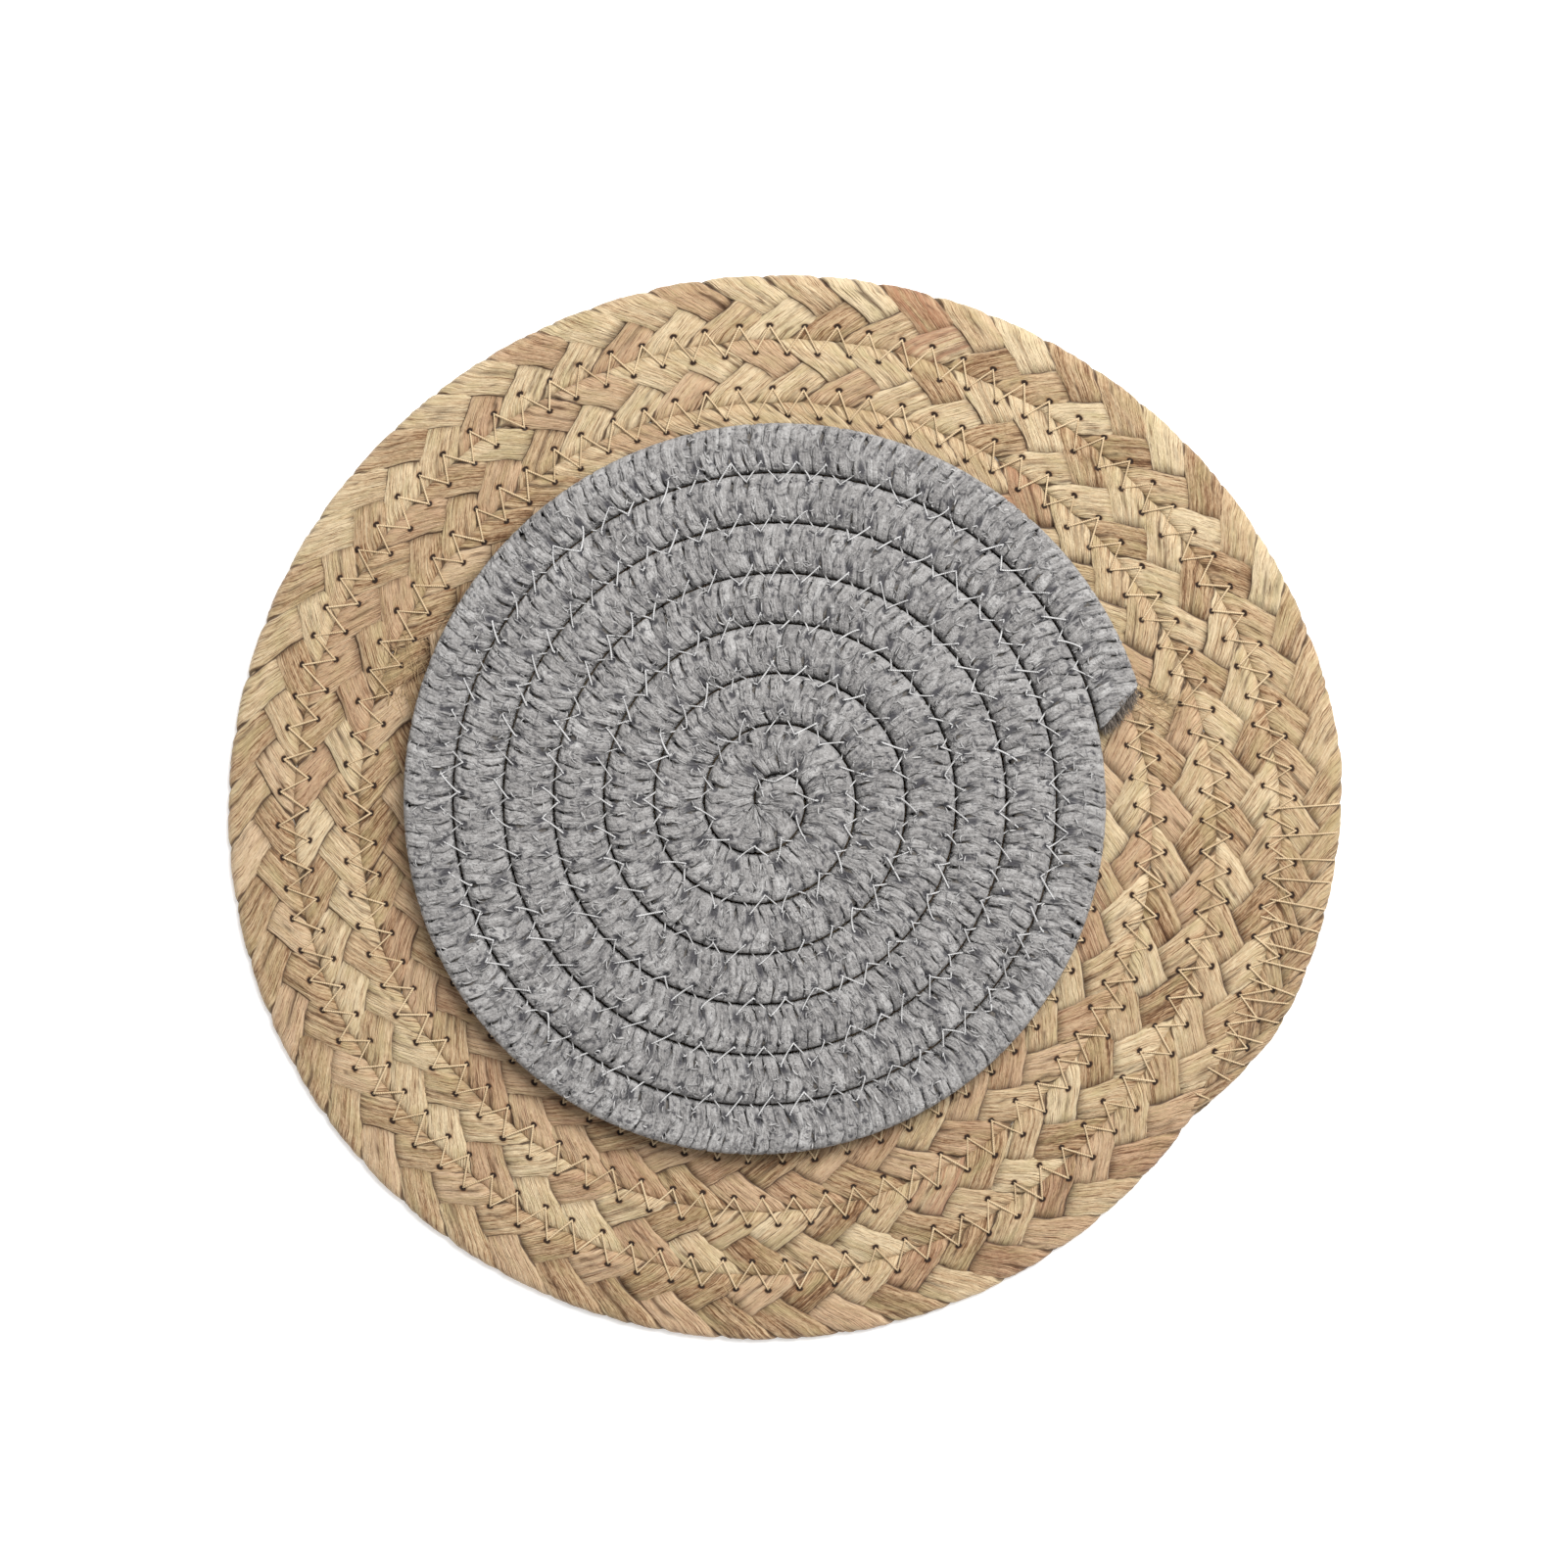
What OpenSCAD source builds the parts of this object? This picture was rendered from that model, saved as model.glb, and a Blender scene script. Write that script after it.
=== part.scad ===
// Round chair seat pad: a coiled straw mat with a coiled cotton rope disc lying on it.
// Origin at the middle of the mat's underside. +X along the longer side, +Y to the back, +Z up.
// All lengths are in millimetres and all angles in degrees.

/* [Straw mat] */
// Overall size of the mat along X
mat_len = 360; // [330:1:400]
// Overall size of the mat along Y
mat_wid = 345; // [320:1:390]
// Distance from one row of plait to the next
row_pitch = 20.7; // [19:0.1:23]
// Thickness of the mat at the middle of a row
mat_h = 5.6; // [5:0.1:7]
// Direction of the plait's outer end, seen from the mat's middle
tail_angle = -38; // [-60:1:-20]
// Length over which the last of the plait narrows to its tip
tail_len = 135; // [90:1:180]

/* [Plait] */
// Length along the row in which each strand returns to the same edge
plait_period = 53; // [48:0.5:60]
// Gap along the row between neighbouring strands
strand_gap = 2; // [1.6:0.1:3]
// How much lower the mat is at a row's edges than along its middle
edge_drop = 1.3; // [1:0.1:1.5]
// Thickness of a strand where it folds over a row's edge
fold_t = 0.8; // [0.6:0.1:1.2]
// Gap between the upper and the lower layer of strands
layer_gap = 0.2; // [0.1:0.05:0.4]
// Gap between neighbouring rows
row_gap = 0.3; // [0.2:0.05:0.6]

/* [Rope disc] */
// Distance from one turn of rope to the next
rope_pitch = 16.25; // [16.1:0.05:17]
// Height of the rope's oval section
rope_h = 11.6; // [11:0.1:12]
// Width of the rope's oval section
rope_w = 15.95; // [15:0.05:16]
// Number of half turns in the coil
half_turns = 14; // [8:1:14]
// Wall thickness of the braided cover
cover_t = 1.6; // [1:0.1:2.5]
// Direction of the rope's outer end, seen from the disc's middle
rope_end_angle = 10; // [0:1:30]
// Slant of the rope's cut end against a square cut
rope_end_slant = 36; // [25:1:60]
// Place of the disc's middle along X
disc_x = -5.4; // [-10:0.1:10]
// Place of the disc's middle along Y
disc_y = 1.9; // [-10:0.1:10]
// Clearance between the mat and the disc
lay_gap = 0.3; // [0.3:0.05:0.6]

/* [Sewing thread] */
// Distance along the seam from one needle hole to the next on the other side
stitch_step = 5.1; // [4.5:0.1:6]
// Width of the thread
thread_w = 1.06; // [0.8:0.02:1.3]
// Thickness of the thread where it lies flat
thread_t = 0.5; // [0.4:0.05:0.6]
// Reach of a stitch to each side of a seam in the mat
mat_reach = 3.2; // [2.5:0.1:3.3]
// Reach of a stitch to each side of a seam in the rope disc
rope_reach = 2.7; // [2:0.1:2.8]
// Distance from one overcast stitch to the next along the tail
binding_step = 10.2; // [8:0.1:14]

/* [Hidden] */

// Spiral of the mat. It starts at the plait's outer end and runs inward, anticlockwise from above.
// The outer end stands out past the mean edge by a share of a row.
end_share = 0.48;
edge_r = (mat_len + mat_wid)/4 + end_share*row_pitch;
row_r = edge_r - row_pitch/2;
half_row = (row_pitch - row_gap)/2;
inner_r = 0.6*row_pitch;
mat_turns = (row_r - inner_r)/row_pitch;
tail_tip = 0.12;
right_angle = 8;

// Radius of the mat's edge in a given direction, before it is drawn out into an oval
function edge_at(a) = edge_r - row_pitch*(a - tail_angle)/360;

oval_x = mat_len/(edge_at(180) + edge_at(right_angle)*cos(right_angle));
oval_y = mat_wid/(edge_at(90) + edge_at(270));
mat_x = oval_x*edge_at(180) - mat_len/2;
mat_y = oval_y*edge_at(270) - mat_wid/2;

// Length of a spiral that starts at radius r and makes the given number of turns
function coil_length(r, turns) = 2*PI*(r*turns - row_pitch*turns*turns/2);

// Turns made by the spiral that starts at radius r, at the distance s along it
function coil_turns(r, s) = (r - sqrt(r*r - row_pitch*s/PI))/row_pitch;

// Point beside the spiral that starts at radius r, s along it and v outward from it
function coil_point(r, s, v) =
    let (turns = coil_turns(r, s),
         a = tail_angle + 360*turns,
         rad = r - row_pitch*turns + v)
    [mat_x + oval_x*rad*cos(a), mat_y + oval_y*rad*sin(a)];

// Plait, made from its inner end. A strand crosses the row outward to inward on its way along it,
// folds over the edge and crosses back. The last strand starts two thirds of a period along.
cross_slope = 4*half_row/plait_period;
fold_shift = fold_t/cross_slope;
dive = strand_gap/2 - 0.25;
plait_len = coil_length(row_r, mat_turns);
widest_half = plait_period/6 - strand_gap/2;
last_start = 2/3;
periods = floor((plait_len - 2*widest_half)/plait_period - last_start);

// A strand's straight runs cut across the row's bend, and the more so the tighter the bend is.
// This is how far they do, w along the plait.
bend_factor = 0.23;
function bend_cut(w) =
    let (s = max(plait_len - w, 0))
    bend_factor*pow(plait_period/3, 2)/(row_r - row_pitch*coil_turns(row_r, s));

// Half of a strand's width along the row
function strand_half(w) = widest_half - bend_cut(w);

// Extra room at a row's inner edge, where the straight fold cuts across the curved seam
function inner_room(s) =
    let (rad = row_r - row_pitch*coil_turns(row_r, s))
    widest_half*widest_half*(rad - half_row)/(2*rad*rad);

// Share of the row's full width that is left at s, less than 1 only in the tail
function tail_share(s) = s >= tail_len ? 1 : tail_tip + (1 - tail_tip)*max(s, 0)/tail_len;

// Place across the row of a point that is u outward from its middle, at s
function across(s, u) =
    let (inner = half_row - inner_room(s),
         v = u >= 0 ? u : u*inner/half_row)
    (v + inner)*tail_share(s) - inner;

// Point of the plait, w along it from its inner end, u outward from the row's middle and z up
function plait_point(w, u, z) =
    let (s = max(plait_len - w, 0))
    concat(coil_point(row_r, s, across(s, u)), z);

mid_up = (mat_h + layer_gap)/2;
mid_low = (mat_h - layer_gap)/2;

// Point of an inward passage that starts at m, q from its middle line, over crossing line c
function inward_point(m, q, c, z) =
    let (u = cross_slope*(m + q - c)/2)
    plait_point(c + (u + half_row)/cross_slope, u, z);

// Point of an outward passage that starts at m, q from its middle line, over crossing line c
function outward_point(m, q, c, z) =
    let (u = -cross_slope*(m + q - c)/2)
    plait_point(c + (half_row - u)/cross_slope, u, z);

// Four corners of a strand's section: two on one face, two on the other
function section_ring(faces) = [faces[0][0], faces[0][1], faces[1][1], faces[1][0]];

// Sections at the outer fold that starts a period at m, from the lower to the upper layer
function outer_fold(m) = let (q = strand_half(m)) [
    section_ring([[for (k = [-q, q]) plait_point(m + k, half_row, edge_drop)],
                  [for (k = [-q, q]) plait_point(m + k - fold_shift, half_row - fold_t, mid_low)]]),
    section_ring([[for (k = [-q, q]) plait_point(m + k, half_row, mat_h - edge_drop)],
                  [for (k = [-q, q]) plait_point(m + k + fold_shift, half_row - fold_t, mid_up)]])];

// Sections where the inward passage dives from the upper to the lower layer
function inward_dive(m) = let (q = strand_half(m)) [
    section_ring([[for (k = [-q, q]) inward_point(m, k, m + dive, mat_h)],
                  [for (k = [-q, q]) inward_point(m, k, m - dive, mid_up)]]),
    section_ring([[for (k = [-q, q]) inward_point(m, k, m + dive, mid_low)],
                  [for (k = [-q, q]) inward_point(m, k, m - dive, 0)]])];

// Sections at the inner fold at m, from the lower to the upper layer
function inner_fold(m) = let (q = strand_half(m)) [
    section_ring([[for (k = [-q, q]) plait_point(m + k - fold_shift, fold_t - half_row, mid_low)],
                  [for (k = [-q, q]) plait_point(m + k, -half_row, edge_drop)]]),
    section_ring([[for (k = [-q, q]) plait_point(m + k + fold_shift, fold_t - half_row, mid_up)],
                  [for (k = [-q, q]) plait_point(m + k, -half_row, mat_h - edge_drop)]])];

// Sections where the outward passage dives from the upper to the lower layer
function outward_dive(m) = let (q = strand_half(m)) [
    section_ring([[for (k = [-q, q]) outward_point(m, k, m - dive, mid_up)],
                  [for (k = [-q, q]) outward_point(m, k, m + dive, mat_h)]]),
    section_ring([[for (k = [-q, q]) outward_point(m, k, m - dive, 0)],
                  [for (k = [-q, q]) outward_point(m, k, m + dive, mid_low)]])];

// One whole period of a strand that starts at m
function strand_period(m) = concat(outer_fold(m), inward_dive(m),
                                   inner_fold(m + plait_period/2), outward_dive(m + plait_period/2));

// Solid through a list of four-point sections
module swept_strand(rings) {
    count = len(rings);
    corner = function (i, k) 4*i + k % 4;
    sides = [for (i = [0:count - 2], k = [0:3], half = [0, 1]) half == 0
        ? [corner(i, k), corner(i, k + 1), corner(i + 1, k + 1)]
        : [corner(i, k), corner(i + 1, k + 1), corner(i + 1, k)]];
    last = 4*(count - 1);
    caps = [[0, 2, 1], [0, 3, 2], [last, last + 1, last + 2], [last, last + 2, last + 3]];
    polyhedron(points = [for (ring = rings) each ring], faces = concat(sides, caps));
}

// Strand that starts the given number of thirds of a period along the row
module husk_strand(third) {
    start = plait_len - widest_half - (periods + third/3)*plait_period;
    rings = [for (n = [0:periods - 1]) each strand_period(start + n*plait_period)];
    swept_strand(concat(rings, [outer_fold(start + periods*plait_period)[0]]));
}

module husk_strand_a() {
    color("burlywood") husk_strand(0);
}

module husk_strand_b() {
    color("tan") husk_strand(1);
}

module husk_strand_c() {
    color("wheat") husk_strand(2);
}

// Outline of a zigzag thread: one edge out, the other edge back
function zigzag_outline(one_edge, other_edge) =
    concat(one_edge, [for (i = [len(other_edge) - 1:-1:0]) other_edge[i]]);

// Half the thread's width measured across the seam, for stitches with the given reach
function thread_half(reach) = thread_w/2*norm([2*reach, stitch_step])/stitch_step;

// Seam between the mat's rows, from past the tail's tip to the start of the innermost row
seam_r = row_r - row_pitch/2;
seam_start = 30;
seam_end = coil_length(seam_r, mat_turns - 1);
seam_stitches = floor((seam_end - seam_start)/stitch_step);

// Alternate sides of a seam, starting on the inner side
function side_of(i) = i % 2 == 0 ? -1 : 1;

function seam_edge(shift) = [for (i = [0:seam_stitches])
    coil_point(seam_r, seam_start + i*stitch_step, side_of(i)*mat_reach + shift)];

module mat_zigzag() {
    half = thread_half(mat_reach);
    linear_extrude(thread_t) polygon(zigzag_outline(seam_edge(-half), seam_edge(half)));
}

module mat_needle_thread() {
    color("peru") translate([0, 0, mat_h - thread_t]) mat_zigzag();
}

module mat_bobbin_thread() {
    color("peru") mat_zigzag();
}

// Overcast stitches over the narrow end of the tail, each ending in a turn over the mat's edge
binding_start = 14;
binding_stitches = 9;
binding_reach = 4.2;
binding_clear = 0.1;

// Distance outward from the row's middle line to a thread just outside the tail's edge, at s
function tail_edge(s) = across(s, half_row) + thread_w/2 + 2*binding_clear;

function binding_s(i) = binding_start + i*binding_step/2;

function binding_point(i, shift) =
    let (s = binding_s(i), inner = -row_pitch/2 - binding_reach)
    coil_point(row_r, s, shift + (i % 2 == 0 ? inner : tail_edge(s)));

function binding_edge(shift) = [for (i = [0:2*binding_stitches]) binding_point(i, shift)];

module tail_binding_thread() {
    half = thread_half(mat_reach);
    color("peru") {
        translate([0, 0, mat_h + binding_clear]) linear_extrude(thread_t)
            polygon(zigzag_outline(binding_edge(-half), binding_edge(half)));
        for (i = [1:2:2*binding_stitches])
            translate(concat(binding_point(i, 0), edge_drop))
                cylinder(h = mat_h + binding_clear + thread_t - edge_drop, d = thread_w, $fn = 24);
    }
}

// Rope coil. Half turns about two middles, half a pitch apart, join into one smooth spiral.
turn_step = rope_pitch/2;
cap_fn = 96;
coil_fn = 180;

function turn_r(i) = turn_step*(i + 1);
function turn_x(i) = i % 2 == 0 ? 0 : turn_step;
function turn_start(i) = i % 2 == 0 ? 0 : 180;

// Angle of half turn i: the last one stops short of its slanted end
end_trim = 2;
function turn_angle(i) = i == half_turns - 1 ? 180 - end_trim : 180;

// Oval section of the rope, shrunk all round
module rope_oval(shrink) {
    r = rope_h/2 - shrink;
    reach = (rope_w - rope_h)/2;
    for (side = [-1, 1]) translate([side*reach, 0]) circle(r, $fn = 48);
    square([2*reach, 2*r], center = true);
}

// The whole coil of a rope that is shrunk all round, lying with its underside at z = shrink
module rope_solid(shrink) {
    translate([0, 0, rope_h/2]) {
        for (i = [0:half_turns - 1]) translate([turn_x(i), 0, 0]) rotate(turn_start(i))
            rotate_extrude(angle = turn_angle(i), $fn = coil_fn)
                translate([turn_r(i), 0]) rope_oval(shrink);
        translate([turn_step, 0, 0]) rotate(180) rotate_extrude(angle = 180, $fn = cap_fn)
            intersection() {
                rope_oval(shrink);
                translate([0, -rope_h]) square(2*rope_h);
            }
    }
}

// Wedge that the slanted cut takes off the rope's outer end
module end_cut() {
    rotate(turn_start(half_turns - 1) + turn_angle(half_turns - 1))
        translate([turn_r(half_turns - 1) - rope_pitch/2, 0, -rope_h/2])
            rotate(-rope_end_slant) cube([3*rope_w, 2*rope_w, 2*rope_h]);
}

// Puts the coil's parts where the disc lies on the mat
module on_mat() {
    translate([disc_x, disc_y, mat_h + lay_gap]) rotate(rope_end_angle) mirror([0, 1, 0])
        translate([-turn_step/2, 0, 0]) children();
}

module cut_rope(shrink) {
    difference() {
        rope_solid(shrink);
        translate([turn_x(half_turns - 1), 0, 0]) end_cut();
    }
}

core_clear = 0.1;

module rope_cover() {
    color("darkgray") on_mat() difference() {
        cut_rope(0);
        rope_solid(cover_t);
    }
}

module rope_core() {
    color("gainsboro") on_mat() cut_rope(cover_t + core_clear);
}

// Seam beside half turn i, as the list of its stitch points with the given shift along it
first_seam = -1;
last_seam = half_turns - 3;

function turn_point(i, s, v) =
    let (r = turn_r(i) + turn_step,
         a = turn_start(i + 2) + s/r*180/PI)
    [turn_x(i + 2) + (r + v)*cos(a), (r + v)*sin(a)];

// Length of all the seams before half turn i, and the half turn on which length s falls
function seam_before(i) = i <= first_seam ? 0 : seam_before(i - 1) + PI*(turn_r(i - 1) + turn_step);
function seam_turn(s, i = first_seam) = i < last_seam && s > seam_before(i + 1) ? seam_turn(s, i + 1) : i;

rope_seam = seam_before(last_seam + 1) - rope_w/2;
rope_stitches = floor(rope_seam/stitch_step) - 1;

function rope_edge(shift) = [for (n = [0:rope_stitches])
    let (s = stitch_step*(n + 0.5), i = seam_turn(s))
    turn_point(i, s - seam_before(i), side_of(n)*rope_reach + shift)];

module rope_zigzag() {
    half = thread_half(rope_reach);
    on_mat() linear_extrude(thread_t) polygon(zigzag_outline(rope_edge(-half), rope_edge(half)));
}

module rope_needle_thread() {
    color("whitesmoke") translate([0, 0, rope_h - thread_t]) rope_zigzag();
}

module rope_bobbin_thread() {
    color("whitesmoke") rope_zigzag();
}

husk_strand_a();
husk_strand_b();
husk_strand_c();
mat_needle_thread();
mat_bobbin_thread();
tail_binding_thread();
rope_cover();
rope_core();
rope_needle_thread();
rope_bobbin_thread();
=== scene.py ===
"""Looks of the round chair seat pad: a coiled, sewn mat of plaited husk with a coil of braided
cotton rope lying on it. Shapes are worked out in millimetres and turned into metres in add_mesh."""
import math

import bpy
import numpy as np
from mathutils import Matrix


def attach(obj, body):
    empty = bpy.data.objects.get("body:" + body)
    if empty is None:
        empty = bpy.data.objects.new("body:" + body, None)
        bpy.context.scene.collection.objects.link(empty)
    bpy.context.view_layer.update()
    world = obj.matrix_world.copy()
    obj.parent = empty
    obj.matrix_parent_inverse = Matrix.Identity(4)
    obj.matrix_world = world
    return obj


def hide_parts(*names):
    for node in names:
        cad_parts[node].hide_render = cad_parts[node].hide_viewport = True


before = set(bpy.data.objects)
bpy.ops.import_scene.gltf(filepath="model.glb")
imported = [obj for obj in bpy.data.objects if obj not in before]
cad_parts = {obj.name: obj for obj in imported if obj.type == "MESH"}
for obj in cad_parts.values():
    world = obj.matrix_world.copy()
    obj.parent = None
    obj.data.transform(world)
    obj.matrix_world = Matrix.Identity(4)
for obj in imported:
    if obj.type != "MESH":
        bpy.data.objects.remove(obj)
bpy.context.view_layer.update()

MM = 0.001

# Driving sizes, the same as the CAD part's
MAT_LEN, MAT_WID, MAT_H = 360, 345, 5.6
ROW_PITCH, ROW_GAP = 20.7, 0.3
TAIL_ANGLE, TAIL_LEN, TAIL_TIP, END_SHARE, RIGHT_ANGLE = -38, 135, 0.12, 0.48, 8
PLAIT_PERIOD, STRAND_GAP = 53, 2
STITCH_STEP, SEAM_START = 5.1, 30
ROPE_PITCH, ROPE_H, ROPE_W, HALF_TURNS = 16.25, 11.6, 15.95, 14
ROPE_END_ANGLE, ROPE_END_SLANT, END_TRIM = 10, 36, 2
DISC_X, DISC_Y, LAY_GAP = -5.4, 1.9, 0.3

# Spiral of the mat, from the plait's outer end inward
EDGE_R = (MAT_LEN + MAT_WID)/4 + END_SHARE*ROW_PITCH
ROW_R = EDGE_R - ROW_PITCH/2
HALF_ROW = (ROW_PITCH - ROW_GAP)/2
INNER_R = 0.6*ROW_PITCH
MAT_TURNS = (ROW_R - INNER_R)/ROW_PITCH
SEAM_R = ROW_R - ROW_PITCH/2


def edge_at(angle):
    """Radius of the mat's edge at an angle in degrees, before the mat is made oval."""
    return EDGE_R - ROW_PITCH*(angle - TAIL_ANGLE)/360


OVAL_X = MAT_LEN/(edge_at(180) + edge_at(RIGHT_ANGLE)*math.cos(math.radians(RIGHT_ANGLE)))
OVAL_Y = MAT_WID/(edge_at(90) + edge_at(270))
MAT_X = OVAL_X*edge_at(180) - MAT_LEN/2
MAT_Y = OVAL_Y*edge_at(270) - MAT_WID/2

# Past the spiral's end the row curls on round the mat's middle: the arc's radius and its length
CENTRE_ARC, CENTRE_REACH = 9, 55


# ---- curves and noise

def coil_length(r, turns):
    """Length along the spiral that starts at radius r, after a number of turns inward."""
    return 2*math.pi*(r*turns - ROW_PITCH*turns*turns/2)


def coil_turns(r, s):
    """Turns inward after a length s along the spiral that starts at radius r."""
    return (r - np.sqrt(r*r - ROW_PITCH*s/math.pi))/ROW_PITCH


def coil_point(r, s, v, z):
    """Point beside the mat's spiral that starts at radius r: s along it, v outward, z up.
    Past the spiral's end the row curls round the mat's middle and gets narrower."""
    end = coil_length(r, MAT_TURNS)
    turns = coil_turns(r, np.minimum(s, end)) + np.maximum(s - end, 0)/(2*math.pi*CENTRE_ARC)
    angle = math.radians(TAIL_ANGLE) + 2*math.pi*turns
    outer = r - ROW_PITCH*turns + HALF_ROW
    squeezed = np.maximum(outer*(v + HALF_ROW)/(2*HALF_ROW), 0)
    rad = np.where(outer < 2*HALF_ROW, squeezed, outer - HALF_ROW + v)
    return np.stack([MAT_X + OVAL_X*rad*np.cos(angle), MAT_Y + OVAL_Y*rad*np.sin(angle),
                     z + np.zeros_like(rad)], -1)


PLAIT_LEN = coil_length(ROW_R, MAT_TURNS)
HALF_PERIOD = PLAIT_PERIOD/2
WIDEST_HALF = PLAIT_PERIOD/6 - STRAND_GAP/2
PERIODS = math.floor((PLAIT_LEN - 2*WIDEST_HALF)/PLAIT_PERIOD - 2/3)
SEAM_STITCHES = math.floor((coil_length(SEAM_R, MAT_TURNS - 1) - SEAM_START)/STITCH_STEP)


def smooth(x):
    """Soft step from 0 to 1 as x goes from 0 to 1."""
    x = np.clip(x, 0, 1)
    return x*x*(3 - 2*x)


def blend_values(a, b, share):
    """Goes from a to b as share goes from 0 to 1."""
    return a + (b - a)*share


def value_noise(x, y, key, seed):
    """Smooth noise from -1 to 1 over x and y, a different field for each whole number key."""
    x, y, key = np.broadcast_arrays(x, y, key)
    x0, y0 = np.floor(x).astype(np.int64), np.floor(y).astype(np.int64)
    fx, fy = smooth(x - x0), smooth(y - y0)

    def corner(i, j):
        """Random value from -1 to 1 at a whole-numbered corner: large primes mix its bits."""
        h = (x0 + i)*374761393 + (y0 + j)*668265263 + key.astype(np.int64)*2147483647 + seed*974634777
        h = (h ^ (h >> 13))*1274126177 & 0x7FFFFFFF
        h = (h ^ (h >> 16))*461845907 & 0x7FFFFFFF
        return (h & 0xFFFFF)/0xFFFFF*2 - 1

    return blend_values(blend_values(corner(0, 0), corner(1, 0), fx),
                        blend_values(corner(0, 1), corner(1, 1), fx), fy)


def layered_noise(x, y, key, seed, layers=3, falloff=0.55):
    """Smooth noise with finer and weaker layers on top."""
    total, gain = 0, 1
    for layer in range(layers):
        total = total + gain*value_noise(x*2**layer, y*2**layer, key, seed + layer)
        gain *= falloff
    return total


# ---- meshes

def add_mesh(name, points, quads, attributes=None, ends=()):
    """Smooth mesh from points in mm, four-cornered faces and many-cornered ends."""
    points = np.asarray(points, np.float32).reshape(-1, 3)*MM
    quads = np.asarray(quads, np.int32).reshape(-1, 4)
    ends = [np.asarray(end, np.int32) for end in ends]
    loops = np.concatenate([quads.ravel(), *ends])
    totals = np.concatenate([np.full(len(quads), 4), [len(end) for end in ends]]).astype(np.int32)
    starts = np.concatenate([[0], np.cumsum(totals)[:-1]]).astype(np.int32)
    mesh = bpy.data.meshes.new(name)
    mesh.vertices.add(len(points))
    mesh.vertices.foreach_set("co", points.ravel())
    mesh.loops.add(len(loops))
    mesh.loops.foreach_set("vertex_index", loops)
    mesh.polygons.add(len(totals))
    mesh.polygons.foreach_set("loop_start", starts)
    mesh.polygons.foreach_set("loop_total", totals)
    mesh.polygons.foreach_set("use_smooth", np.ones(len(totals), bool))
    mesh.update(calc_edges=True)
    for key, value in (attributes or {}).items():
        value = np.asarray(value, np.float32)
        is_vector = value.size == 3*len(points)
        attribute = mesh.attributes.new(key, "FLOAT_VECTOR" if is_vector else "FLOAT", "POINT")
        attribute.data.foreach_set("vector" if is_vector else "value", value.ravel())
    mesh.validate()
    piece = bpy.data.objects.new(name, mesh)
    bpy.context.scene.collection.objects.link(piece)
    return piece


def tube_faces(tubes, rings, around):
    """Faces and end faces of tubes whose points are numbered by tube, ring and place around."""
    first = np.arange(tubes)[:, None, None]*rings*around
    ring = np.arange(rings - 1)[None, :, None]*around
    a = np.arange(around)[None, None, :]
    b = (a + 1) % around
    quads = np.stack([first + ring + a, first + ring + b,
                      first + ring + around + b, first + ring + around + a], -1)
    ends = []
    for tube in range(tubes):
        start = tube*rings*around + np.arange(around)
        ends += [start[::-1], start + (rings - 1)*around]
    return quads.reshape(-1, 4), ends


def sweep(paths, radius, around=6):
    """Round tubes along paths, shaped (tubes, rings, 3). Radius is one number or (tubes, rings)."""
    paths = np.asarray(paths, float)
    along = np.gradient(paths, axis=1)
    along /= np.linalg.norm(along, axis=-1, keepdims=True) + 1e-9
    side = np.cross(along, [0, 0, 1.0])
    flat = np.linalg.norm(side, axis=-1, keepdims=True)
    side = np.where(flat > 0.05, side/(flat + 1e-9), np.array([1.0, 0, 0]))
    up = np.cross(side, along)
    turn = 2*math.pi*np.arange(around)/around
    radius = np.broadcast_to(radius, paths.shape[:2])[..., None, None]
    ring = np.cos(turn)[:, None]*side[:, :, None, :] + np.sin(turn)[:, None]*up[:, :, None, :]
    return paths[:, :, None, :] + radius*ring


def add_tubes(name, paths, radius, around=6):
    """One piece made of round tubes, with the thread attribute: mm along, turn around, number."""
    points = sweep(paths, radius, around)
    tubes, rings = points.shape[:2]
    quads, ends = tube_faces(tubes, rings, around)
    step = np.linalg.norm(np.diff(paths, axis=1), axis=-1)
    along = np.concatenate([np.zeros((tubes, 1)), np.cumsum(step, 1)], 1)
    thread = np.stack(np.broadcast_arrays(along[:, :, None], np.arange(around)/around,
                                          np.arange(tubes)[:, None, None]), -1)
    return add_mesh(name, points, quads, {"thread": thread}, ends)


def add_in_halves(name, points, attributes, share):
    """Inner and outer piece of one long strip of sections, cut at a share of its length."""
    cut = int(len(points)*share)
    pieces = []
    for half, part in (("inner", slice(0, cut + 1)), ("outer", slice(cut, len(points)))):
        chosen = points[part]
        quads, ends = tube_faces(1, *chosen.shape[:2])
        values = {key: value[part] for key, value in attributes.items()}
        pieces.append(add_mesh(f"{name}_{half}", chosen, quads, values, ends))
    return pieces


def place(piece, body, slot, material, *nodes):
    """Gives a piece its finish, the body that it moves with and the CAD nodes that it stands for."""
    piece.data.materials.append(material)
    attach(piece, body)
    if nodes:
        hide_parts(*nodes)
    return piece


# ---- materials

def linear(*rgb):
    """Linear colour from 0-255 display values."""
    return tuple(((c/255 + 0.055)/1.055)**2.4 if c > 10 else c/255/12.92 for c in rgb) + (1.0,)


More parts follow.
